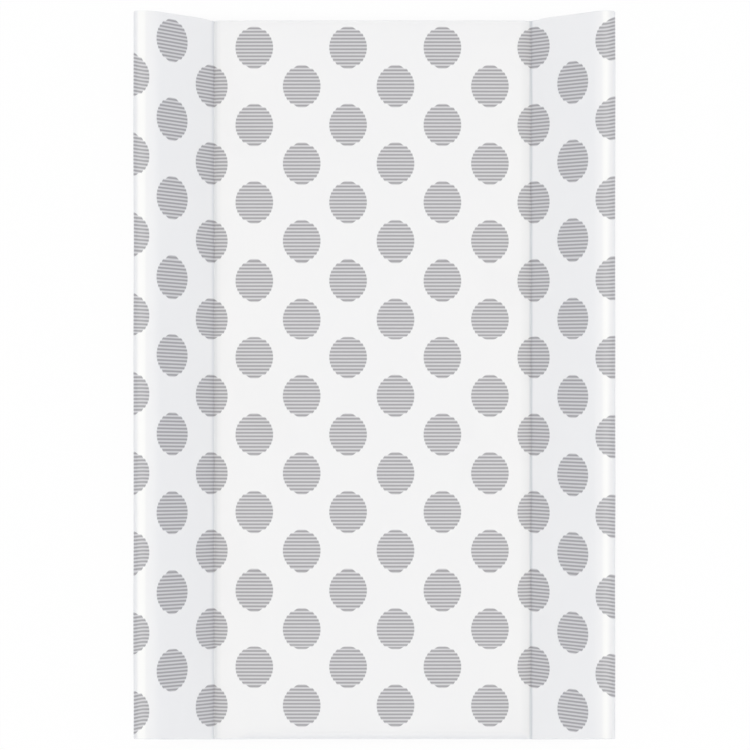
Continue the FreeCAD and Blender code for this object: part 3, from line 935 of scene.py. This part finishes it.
@dataclass
class CoverFilm(SweptForm):
    """The printed film over mat, wings, sides and ends, with its hem under the board."""

    thickness: float = 0.6
    hem: float = 35.0
    slack: Slack = Slack()
    mat_foot_roll: float = 9.0
    edge_roll: float = 1.2
    top_band: float = 1.0
    side_points: int = 14
    under_gap: float = 0.2
    under_lead: float = 30.0
    end_share: float = 0.0397
    end_stations: int = 5
    middle_stations: int = 135
    flat_width: float = 0.78
    flat_length: float = 1.02
    mat_dots: tuple[float, ...] = (-130.6, -79.0, -28.7, 22.9, 73.8, 125.5)
    first_dot: int = 2
    side_columns: int = 4
    wing_run: float = 72.5
    crest_stretch: float = 0.0085
    crest_stretch_from: float = 242.0
    crest_stretch_run: float = 14.0
    crest_stretch_power: float = 1.9
    roller_rows: float = 4.0
    roller_start: float = 0.25
    roller_slip: float = 1.2
    slip_on: tuple[float, float] = (2.96, 3.04)
    slip_off: tuple[float, float] = (3.96, 4.0)
    # Fades of the painted highlight along the crests, and core and reach of the painted shade in and beside the
    # creases.
    highlight_inner_fade: float = 4.0
    highlight_outer_fade: float = 2.4
    crease_shade_core: float = 0.3
    painted_shade_share: float = 0.14
    painted_shade_run: float = 5.0

    @classmethod
    def over(cls, sizes: BoardSizes) -> "CoverFilm":
        """Draws the film's cross-section for a board.

        Args:
            sizes: The board's sizes.

        Returns:
            The film, ready to build.
        """
        halves = {hand: sizes.half_top(hand) for hand in Hand}
        arc = np.linspace(math.pi / 2, 0.0, sizes.edge_points)
        roll = np.column_stack([
            sizes.half_width - sizes.under_radius * (1.0 - np.cos(arc)),
            sizes.base + sizes.under_radius * (1.0 - np.sin(arc)),
        ])
        hem_edge, last = sizes.half_width - cls.hem, roll[0, 0]
        under = {}
        for hand, half in halves.items():
            x = half[:len(half) - len(roll), 0].copy()
            x[np.argmin(abs(x - hem_edge))] = hem_edge
            x = np.minimum(x, np.linspace(0.0, last - cls.under_gap, len(x)) + cls.under_lead)
            x = np.minimum(x, last - cls.under_gap * np.arange(len(x), 0, -1))
            under[hand] = np.concatenate([np.column_stack([x, np.full(len(x), sizes.base)]), roll])
        top, bottom = (
            np.concatenate([half[Hand.LEFT][:0:-1] * MIRROR, half[Hand.RIGHT]]) for half in (halves, under)
        )
        height = np.linspace(sizes.base + sizes.under_radius, sizes.crest - sizes.crest_outer_radius, cls.side_points)
        side = np.column_stack([np.full(cls.side_points, sizes.half_width), height])
        edge, few = cls.end_share, cls.end_stations + 1
        stations = np.concatenate([
            np.linspace(0.0, edge, few),
            np.linspace(edge, 1.0 - edge, cls.middle_stations + 1)[1:],
            np.linspace(1.0 - edge, 1.0, few)[1:],
        ])
        return cls(left=side * MIRROR, top=top, right=side, bottom=bottom, stations=stations, sizes=sizes)

    def end_roll(self, end: End, section: np.ndarray) -> np.ndarray:
        """Radius of the end edge: tight, and a fuller roll where the mat ends at the foot.

        Args:
            end: Head or foot.
            section: Points (n, 2) in X and Z.

        Returns:
            One radius for each point.
        """
        radius = np.full(len(section), self.edge_roll)
        if end is End.FOOT:
            on_mat = (section[:, 1] > self.sizes.mat - self.top_band) & (abs(section[:, 0]) < self.sizes.crease_right)
            full = 1.0 * on_mat
            for hand, side in FILM_SIDES.items():
                full = full * (1.0 - ease(*side.mat_roll, hand.value * section[:, 0]))
            radius = radius + full * (self.mat_foot_roll - self.edge_roll)
        return radius

    def swell(self, section: np.ndarray, y: np.ndarray) -> np.ndarray:
        """How far the film stands out: slack between the staples, pulled in at them.

        Args:
            section: Points (n, 2) in X and Z.
            y: Their places along the board.

        Returns:
            One height for each point.
        """
        x, z = section[:, 0], section[:, 1]
        sizes, slack = self.sizes, self.slack
        upper = ease(sizes.mat - slack.upper_band[0], sizes.mat - slack.upper_band[1], z)
        out = slack.upper * wander(x, y, slack.upper_wave, 3) * upper
        pulls = slack.crease * np.cos(y * math.tau / slack.crease_pitch)
        for hand in Hand:
            from_crease = abs(x - hand.value * sizes.crease(hand))
            out = out - pulls * np.exp(-((from_crease / slack.crease_reach) ** 2)) * upper
        crest = ease(sizes.crest - slack.crest_band, sizes.crest, z)
        out = out + slack.crest * wander(np.zeros_like(y), y, slack.crest_wave, 8) * crest
        outer = ease(sizes.half_width - slack.side_band, sizes.half_width, abs(x))
        up = z - sizes.base
        out = out + outer * (slack.side * np.sin(math.pi * np.clip(up / slack.side_height, 0.0, 1.0)))
        at_staple = 0.5 + 0.5 * np.cos(y * math.tau / slack.hem_pitch)
        return out - outer * slack.hem * np.exp(-up / slack.hem_reach) * at_staple

    def end_swell(self, x: np.ndarray, across: np.ndarray, up: np.ndarray) -> np.ndarray:
        """How far an end face bulges, with a pull at each hem staple.

        Args:
            x: Places across the board.
            across: Shares of the face's width.
            up: Shares of its height.

        Returns:
            One height for each point.
        """
        slack = self.slack
        bulge = slack.end * np.sin(math.pi * across) ** slack.end_fullness * np.sin(math.pi * up)
        at_staple = 1.0 + np.cos(x * math.tau / slack.hem_pitch)
        return bulge - slack.end_pull * np.exp(-up * slack.end_pull_fade) * up * at_staple

    def left_out(self, rings: int) -> np.ndarray:
        """Marks the faces inside the hem, where the board is bare of film.

        Args:
            rings: Number of rings.

        Returns:
            One mark for each face between two rings.
        """
        outline = self.outline()
        inside = abs(outline[:, 0]) <= self.sizes.half_width - self.hem + CLOSE
        bare = inside & (outline[:, 1] <= self.sizes.base + CLOSE)
        out = super().left_out(rings)
        first = self.roll_steps + self.end_stations
        out[first:first + self.middle_stations] = bare & np.roll(bare, -1)
        return out

    def unfold(self, points: np.ndarray, rings: int) -> np.ndarray:
        """Places each point on the film as it was printed, flat.

        The film of the left wing was drawn a little towards the head, and the film over the crests is
        stretched a little lengthwise.

        Args:
            points: Points (n, 3) of the film.
            rings: Number of rings.

        Returns:
            Points (n, 7), each with its place across and along the flat film and its shares of painted highlight and
            painted crease shade.
        """
        outline = self.outline()
        on_rings = rings * len(outline)
        middle = len(self.left) - 1 + len(self.top) // 2
        steps = np.linalg.norm(np.roll(outline, -1, axis=0) - outline, axis=1)
        run = np.concatenate([[0.0], np.cumsum(steps)[:-1]])
        run = run - run[middle]
        far = len(self.left) - 1 + len(self.top) + len(self.left) + len(self.bottom) // 2
        run[far:] = run[far:] - steps.sum()
        printed = np.interp(run, *self.print_columns(outline, run))
        over = np.clip((abs(outline[:, 0]) - self.crest_stretch_from) / self.crest_stretch_run, 0.0, 1.0)
        stretch = 1.0 + self.crest_stretch * over**self.crest_stretch_power
        drawn, shrunk = np.zeros(len(outline)), np.zeros(len(outline))
        for hand, side in FILM_SIDES.items():
            on_wing = np.clip(hand.value * outline[:, 0] - self.sizes.crease(hand), 0.0, self.wing_run)
            drawn, shrunk = drawn + side.drawn * on_wing, shrunk + side.shrink * on_wing
        stretch = stretch - shrunk / self.wing_run
        along = points[:on_rings, 1] / np.tile(stretch, rings) - np.tile(drawn, rings)
        extra = len(points) - on_rings
        return np.column_stack([
            points,
            np.concatenate([np.tile(printed, rings), np.zeros(extra)]),
            np.concatenate([self.print_row(along), np.where(points[on_rings:, 1] > 0.0, UNPRINTED, -UNPRINTED)]),
            np.concatenate([np.tile(self.painted_light_shares(outline), (rings, 1)), np.zeros((extra, 2))]),
        ])

    def print_row(self, along: np.ndarray) -> np.ndarray:
        """Moves each fourth row of the print, where the print roller's joint sets it nearer the foot.

        Args:
            along: Places along the film.

        Returns:
            Places in the print's even rows.
        """
        film = PRINTED_FILM
        row = np.mod((film.first_row - along) / film.row_pitch + self.roller_start, self.roller_rows)
        return along + self.roller_slip * (ease(*self.slip_on, row) - ease(*self.slip_off, row))

    def painted_light_shares(self, outline: np.ndarray) -> np.ndarray:
        """How much painted highlight the film gets along the crests and painted shade in and beside the creases.

        Args:
            outline: Points of the cross-section.

        Returns:
            Two shares (n, 2) from 0 to 1.
        """
        x, z = outline[:, 0], outline[:, 1]
        crest, weld = np.zeros(len(x)), np.zeros(len(x))
        on_crest = z > self.sizes.crest - self.sizes.crest_outer_radius
        on_top = z > self.sizes.mat - self.sizes.crease_depth - self.top_band
        for hand, side in FILM_SIDES.items():
            (inner, outer), (share, wing_side, mat_side, reach) = side.crest_band, side.weld
            # Painted highlight: rises and falls across the crest band, only near the crest's top.
            out = hand.value * x
            rise = ease(inner - self.highlight_inner_fade, inner, out)
            fall = 1.0 - ease(outer, outer + self.highlight_outer_fade, out)
            crest = np.maximum(crest, on_crest * rise * fall)
            # Painted crease shade: a grey line at the crease, and painted shade beside it over the mat.
            inwards = self.sizes.crease(hand) - out
            from_line = np.where(inwards > 0.0, inwards / mat_side, -inwards / wing_side)
            line = share * (1.0 - ease(self.crease_shade_core, 1.0, from_line))
            painted_shade = self.painted_shade_share * (inwards > 0.0) * (1.0 - ease(self.painted_shade_run, reach, inwards))
            weld = np.maximum(weld, on_top * np.maximum(line, painted_shade))
        return np.column_stack([crest, weld])

    def print_columns(self, outline: np.ndarray, run: np.ndarray) -> tuple[list[float], list[float]]:
        """Pairs lengths along the film with places in the print's even columns.

        Args:
            outline: Points of the cross-section.
            run: Length along the film at each.

        Returns:
            Lengths along the film, and the place in the print at each.
        """
        film = PRINTED_FILM
        half, pitch = film.dot_width / 2, film.column_pitch / 2
        inner = [film.first_column + pitch * (step - self.first_dot) for step in range(len(self.mat_dots))]
        pairs = [
            (place + side, column + side) for place, column in zip(self.mat_dots, inner) for side in (-half, half)
        ]
        first = len(self.left) - 1
        upper = slice(first, first + len(self.top) - 1)
        for (hand, side), last in zip(FILM_SIDES.items(), (inner[0], inner[-1])):
            places = hand.value * np.array((*side.dots, side.crest_dot))
            *edges, start = np.interp(places, outline[upper, 0], run[upper]).tolist()
            for step in range(self.side_columns):
                edges.append(start + hand.value * pitch * step)
                edges.append(start + hand.value * (pitch * step + film.dot_width))
            for place, edge in enumerate(edges):
                column = last + hand.value * pitch * (place // 2 + 1)
                pairs.append((edge, column + hand.value * (half if place % 2 else -half)))
        pairs.sort()
        return [length for length, _ in pairs], [place for _, place in pairs]

    def build(self) -> Piece:
        """Makes the film with its folded corners and hides the solid that it stands for.

        Returns:
            The film.
        """
        points, faces, rings = self.surface()
        film = make_piece("printed_film_cover", self.unfold(points, rings), faces, PRINTED_FILM)
        thicken(film, self.thickness)
        fold = CornerFold(self.sizes, self.thickness)
        folds = [fold.build(end, hand) for end in End for hand in Hand]
        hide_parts("cover_film")
        return film


@dataclass
class FoamBlock(SweptForm):
    """A block of foam under the film, with soft edges and the ends of the board."""

    clearance: float = 1.8
    head_edge: float = 3.0
    foot_edge: float = 3.0
    end_bulge: float = 0.8
    unevenness: float = 0.1
    uneven_wave: float = 60.0

    def end_roll(self, end: End, section: np.ndarray) -> np.ndarray:
        """Radius of the block's soft end edge at points (n, 2) of the cross-section."""
        return np.full(len(section), self.head_edge if end is End.HEAD else self.foot_edge)

    def swell(self, section: np.ndarray, y: np.ndarray) -> np.ndarray:
        """Slight unevenness of the sawn faces at points (n, 2) of the cross-section and places along the board."""
        return -self.unevenness + self.unevenness * wander(section[:, 0], y, self.uneven_wave, 21)

    def end_swell(self, x: np.ndarray, across: np.ndarray, up: np.ndarray) -> np.ndarray:
        """How far an end face bulges at shares of its width and height, wherever it lies across the board."""
        return self.end_bulge * np.sin(math.pi * across) * np.sin(math.pi * up)


@dataclass(frozen=True)
class FoamCore:
    """The foam mat and the two foam wings under the film."""

    sizes: BoardSizes
    clearance: float = 1.1
    crease_room: float = 6.5
    wing_foot: float = 3.0
    mat_edge_run: float = 14.0
    mat_edge_drop: float = 4.5
    mat_edge_power: float = 2.4
    mat_foot_edge: float = 10.0
    stations: int = 60
    mat_columns: int = 60
    mat_side_points: int = 6
    wing_side_points: int = 8

    def mat(self) -> Piece:
        """Makes the mat's foam pad.

        Returns:
            The pad.
        """
        low, high = (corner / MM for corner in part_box("mat_foam"))
        sizes, half = self.sizes, high.x - self.crease_room
        upper = np.linspace(-half, half, self.mat_columns)
        soft = np.clip((abs(upper) - (half - self.mat_edge_run)) / self.mat_edge_run, 0.0, 1.0)
        crown = sizes.mat_crown * (1.0 - (upper / half) ** 2)
        top_z = sizes.mat - self.clearance + crown - self.mat_edge_drop * soft**self.mat_edge_power
        side_z = np.linspace(low.z, top_z[0], self.mat_side_points)
        side = np.column_stack([np.full(self.mat_side_points, half), side_z])
        return self.finish(
            "mat_foam_pad", "mat_foam", left=side * MIRROR, right=side, top=np.column_stack([upper, top_z]),
            bottom=np.column_stack([upper, np.full(self.mat_columns, low.z)]), foot_edge=self.mat_foot_edge,
        )

    def wing(self, hand: Hand) -> Piece:
        """Makes one wing's foam pad.

        Args:
            hand: Which wing.

        Returns:
            The pad.
        """
        side = hand.name.lower()
        node = f"{side}_wedge_foam"
        low, _ = (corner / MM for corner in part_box(node))
        half = self.sizes.half_top(hand)
        wing = half[half[:, 0] > self.sizes.crease(hand) + self.wing_foot]
        step = np.gradient(wing, axis=0)
        step = step / np.linalg.norm(step, axis=1, keepdims=True)
        top = wing + np.column_stack([step[:, 1], -step[:, 0]]) * self.clearance
        bottom = np.column_stack([np.linspace(top[0, 0], top[-1, 0], len(top)), np.full(len(top), low.z)])
        up = np.linspace(0.0, 1.0, self.wing_side_points)
        left, right = (np.column_stack([np.full(len(up), x), low.z + (z - low.z) * up]) for x, z in top[[0, -1]])
        if hand is Hand.LEFT:
            left, right, top, bottom = (part * MIRROR for part in (right, left, top[::-1], bottom[::-1]))
        return self.finish(f"{side}_wing_pad", node, left=left, top=top, right=right, bottom=bottom)

    def finish(self, name: str, node: str, **section: np.ndarray | float) -> Piece:
        """Args:
            name: Name of the piece.
            node: Solid that it stands for.
            section: The block's cross-section and edges.

        Returns:
            The piece.
        """
        block = FoamBlock(stations=np.linspace(0.0, 1.0, self.stations), sizes=self.sizes, **section)
        points, faces, _ = block.surface()
        pad = make_piece(name, points, faces, CUT_FOAM)
        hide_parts(node)
        REPORT.info("%s: foam in place of %s", name, node)
        return pad


@dataclass(frozen=True)
class ClosingSheet:
    """The bonded cloth stapled under the board, slightly slack between its staples."""

    thickness: float = 0.4
    sag: float = 1.3
    sag_share: float = 0.75
    sag_swing: float = 0.35
    sag_wave: float = 170.0
    sag_band: tuple[float, float] = (8.0, 90.0)
    staple_pitch: float = 64.0
    staple_inset: float = 7.0
    edge_lift: float = 0.45
    wrinkle: float = 0.18
    wrinkle_reach: float = 30.0
    batten_near: float = 250.0
    batten_far: float = 308.0
    before_batten: float = 40.0
    beyond_batten: float = 30.0
    ragged: float = 0.5
    ragged_wave: float = 45.0
    ragged_band: float = 6.0
    columns: int = 72
    rows: int = 112

    def build(self) -> Piece:
        """Makes the cloth where its solid lies.

        Returns:
            The cloth.
        """
        low, high = (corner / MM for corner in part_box("dust_sheet"))
        x, y = np.meshgrid(np.linspace(low.x, high.x, self.columns), np.linspace(low.y, high.y, self.rows))
        from_side = np.minimum(x - low.x, high.x - x)
        from_end = np.minimum(y - low.y, high.y - y)
        from_edge = np.minimum(from_side, from_end)
        off_batten = 1.0 - ease(self.batten_near - self.before_batten, self.batten_near, abs(y)) * (
            1.0 - ease(self.batten_far, self.batten_far + self.beyond_batten, abs(y))
        )
        slack = self.sag * ease(*self.sag_band, from_edge) * off_batten
        slack = slack * (self.sag_share + self.sag_swing * wander(x, y, self.sag_wave, 5))
        turn = np.where(from_side < from_end, y, x) * math.tau / self.staple_pitch
        at_edge = 1.0 - ease(0.0, self.staple_inset * 2.0, from_edge)
        lifted = self.edge_lift * (0.5 - 0.5 * np.cos(turn)) * at_edge
        wrinkle = self.wrinkle * np.sin(turn * 2.0) * np.exp(-from_edge / self.wrinkle_reach) * off_batten
        z = high.z - slack - lifted + np.minimum(wrinkle, 0.0)
        cut = self.ragged * wander(x, y, self.ragged_wave, 12) * (1.0 - ease(0.0, self.ragged_band, from_edge))
        cut = np.minimum(cut, 0.0)
        points = np.stack([x + np.sign(x) * cut, y + np.sign(y) * cut, z], axis=2).reshape(-1, 3)
        faces = quads(np.arange(x.size).reshape(x.shape), turned=True)
        cloth = make_piece("closing_cloth", points, faces, BONDED_CLOTH)
        thicken(cloth, self.thickness, side=1.0)
        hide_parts("dust_sheet")
        return cloth


@dataclass(frozen=True)
class BoardAndFittings:
    """The rigid solids that stay as they are: base, strips, battens, pads and fasteners."""

    def finishes(self) -> dict[str, Finish]:
        """Pairs each solid with what it is made of.

        Returns:
            The finish of each solid, by its name.
        """
        found: dict[str, Finish] = {"base_board": FIBREBOARD}
        for hand in ("left", "right"):
            found[f"{hand}_crease_strip"] = STRIP_FILM
        for end in ("head", "foot"):
            found[f"{end}_stop_batten"] = PINE
            found[f"{end}_batten_screws"] = SCREW_STEEL
            for hand in ("left", "right"):
                found[f"{end}_{hand}_pad"] = RUBBER
        for row in ("crease", "side_hem", "end_hem", "side_sheet", "end_sheet"):
            found[f"{row}_staples"] = STAPLE_WIRE
        return found

    def dress(self) -> None:
        """Gives each solid its finish."""
        for node, finish in self.finishes().items():
            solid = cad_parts[node]
            solid.data.materials.clear()
            solid.data.materials.append(finish.material())
            REPORT.info("%s: %s", node, finish.name)


@dataclass(frozen=True)
class Lamp:
    """A flat lamp; lengths in metres, power in watts."""

    name: str
    place: tuple[float, float, float]
    target: tuple[float, float, float]
    size: tuple[float, float]
    power: float
    colour: str = "#FFFEFC"
    in_gloss: bool = True

    def hang(self) -> None:
        """Hangs the lamp facing its target, out of the camera's sight."""
        light = bpy.data.lights.new(self.name, "AREA")
        light.shape = "RECTANGLE"
        light.size, light.size_y = self.size
        light.energy = self.power
        light.color = linear(self.colour)[:3]
        lamp = bpy.data.objects.new(self.name, light)
        lamp.location = self.place
        facing = Vector(self.target) - Vector(self.place)
        lamp.rotation_euler = facing.to_track_quat("-Z", "Y").to_euler()
        lamp.visible_camera = False
        lamp.visible_glossy = self.in_gloss
        bpy.context.scene.collection.objects.link(lamp)


@dataclass(frozen=True)
class Studio:
    """The floor, the light and the camera above the board; lengths in metres."""

    camera_x: float = 0.0006
    camera_y: float = 0.0056
    mat_height: float = 0.053
    camera_rise: float = 1.925
    pixels_per_metre: float = 920.3
    image_width: int = 750
    sensor: float = 36.0
    view_reach: float = 50.0
    zenith: str = "#EAE4D6"
    horizon: str = "#D2E1FF"
    ambient_strength: float = 0.75
    floor_paint: str = "#FAFAFA"
    floor_reach: float = 4.0
    floor_white: float = 0.965
    shaded_width: float = 0.43
    shaded_length: float = 0.70
    shade_fade: float = 0.062
    lamps: tuple[Lamp, ...] = (
        Lamp("left_lamp", (-1.0, 0.0, 2.1), (-1.0, 0.0, 0.0), (1.5, 2.6), 14.35, in_gloss=False),
        Lamp("right_lamp", (1.0, 0.0, 2.1), (1.0, 0.0, 0.0), (1.5, 2.6), 14.35, in_gloss=False),
        Lamp("head_lamp", (0.0, 2.8, 2.2), (0.0, 0.0, 0.05), (1.8, 1.0), 5.0),
        Lamp("foot_lamp", (0.0, -2.6, 1.0), (0.0, -0.39, 0.05), (1.8, 1.0), 3.0),
    )

    def camera(self) -> None:
        """Hangs the camera straight above the board, at the photograph's scale on the mat."""
        lens = bpy.data.cameras.new("camera")
        lens.sensor_width = self.sensor
        lens.lens = self.pixels_per_metre * self.camera_rise * self.sensor / self.image_width
        lens.clip_end = self.view_reach
        camera = bpy.data.objects.new("camera", lens)
        camera.location = (self.camera_x, self.camera_y, self.mat_height + self.camera_rise)
        bpy.context.scene.collection.objects.link(camera)
        bpy.context.scene.camera = camera

    def seen_white(self, tree: Tree) -> Node:
        """Tells the rays that show the background from those that light the object.

        Args:
            tree: Node tree that gets the nodes.

        Returns:
            Node that is 1 for rays from the camera, from gloss and through glass.
        """
        rays = add_node(tree, "LightPath").outputs
        seen = add_node(tree, "Math", rays["Is Camera Ray"], rays["Is Glossy Ray"], operation="MAXIMUM")
        return add_node(tree, "Math", seen, rays["Is Transmission Ray"], operation="MAXIMUM")

    def surroundings(self) -> None:
        """Lights the room evenly, cooler from low down, and shows it white."""
        world = bpy.data.worlds.new("studio")
        world.use_nodes = True
        tree = world.node_tree
        tree.nodes.clear()
        way = add_node(tree, "TexCoord").outputs["Generated"]
        up = add_node(tree, "SeparateXYZ", way).outputs["Z"]
        sky = add_node(tree, "Mix", up, self.horizon, self.zenith, **COLOURS)
        soft = add_node(tree, "Background", Color=sky, Strength=self.ambient_strength)
        white = add_node(tree, "Background", Color=WHITE, Strength=1.0)
        mixed = add_node(tree, "MixShader", self.seen_white(tree), soft, white)
        add_node(tree, "OutputWorld", Surface=mixed)
        bpy.context.scene.world = world

    def floor(self) -> None:
        """Lays a pale floor that shows white and keeps the board's shadow, which is full under the board."""
        reach = (-self.floor_reach, self.floor_reach)
        mesh = bpy.data.meshes.new("floor")
        mesh.from_pydata([(x, y, 0.0) for y in reach for x in reach], [], [(0, 1, 3, 2)])
        paint = bpy.data.materials.new("floor_paint_matt")
        paint.use_nodes = True
        tree = paint.node_tree
        tree.nodes.clear()
        matt = add_node(tree, "BsdfDiffuse", Color=self.floor_paint)
        white = add_node(tree, "Emission", Color=WHITE, Strength=1.0)
        place = add_node(tree, "TexCoord").outputs["Object"]
        shaded = (self.shaded_width / 2, self.shaded_length / 2, 0.0)
        either_side = add_node(tree, "VectorMath", place, operation="ABSOLUTE")
        beyond = add_node(tree, "VectorMath", either_side, shaded, operation="SUBTRACT")
        outside = add_node(tree, "VectorMath", beyond, (0.0, 0.0, 0.0), operation="MAXIMUM")
        distance = add_node(tree, "VectorMath", outside, operation="LENGTH")
        fade = (0.0, self.shade_fade, 0.0, self.floor_white)
        open_floor = add_node(tree, "MapRange", distance, *fade, interpolation_type="SMOOTHSTEP")
        share = add_node(tree, "Math", self.seen_white(tree), open_floor, operation="MULTIPLY")
        mixed = add_node(tree, "MixShader", share, matt, white)
        add_node(tree, "OutputMaterial", Surface=mixed)
        mesh.materials.append(paint)
        floor = bpy.data.objects.new("floor", mesh)
        bpy.context.scene.collection.objects.link(floor)

    def build(self) -> None:
        """Sets up the floor, the light and the camera."""
        self.surroundings()
        self.floor()
        for lamp in self.lamps:
            lamp.hang()
        self.camera()
        bpy.context.scene.view_settings.view_transform = "Standard"
        REPORT.info("studio set up")


def main() -> None:
    """Builds the board from its core outwards, then the studio."""
    logging.basicConfig(level=logging.INFO, format="%(message)s")
    sizes = BoardSizes()
    core = FoamCore(sizes)
    core.mat()
    for hand in Hand:
        core.wing(hand)
    CoverFilm.over(sizes).build()
    ClosingSheet().build()
    BoardAndFittings().dress()
    Studio().build()


if __name__ == "__main__":
    main()
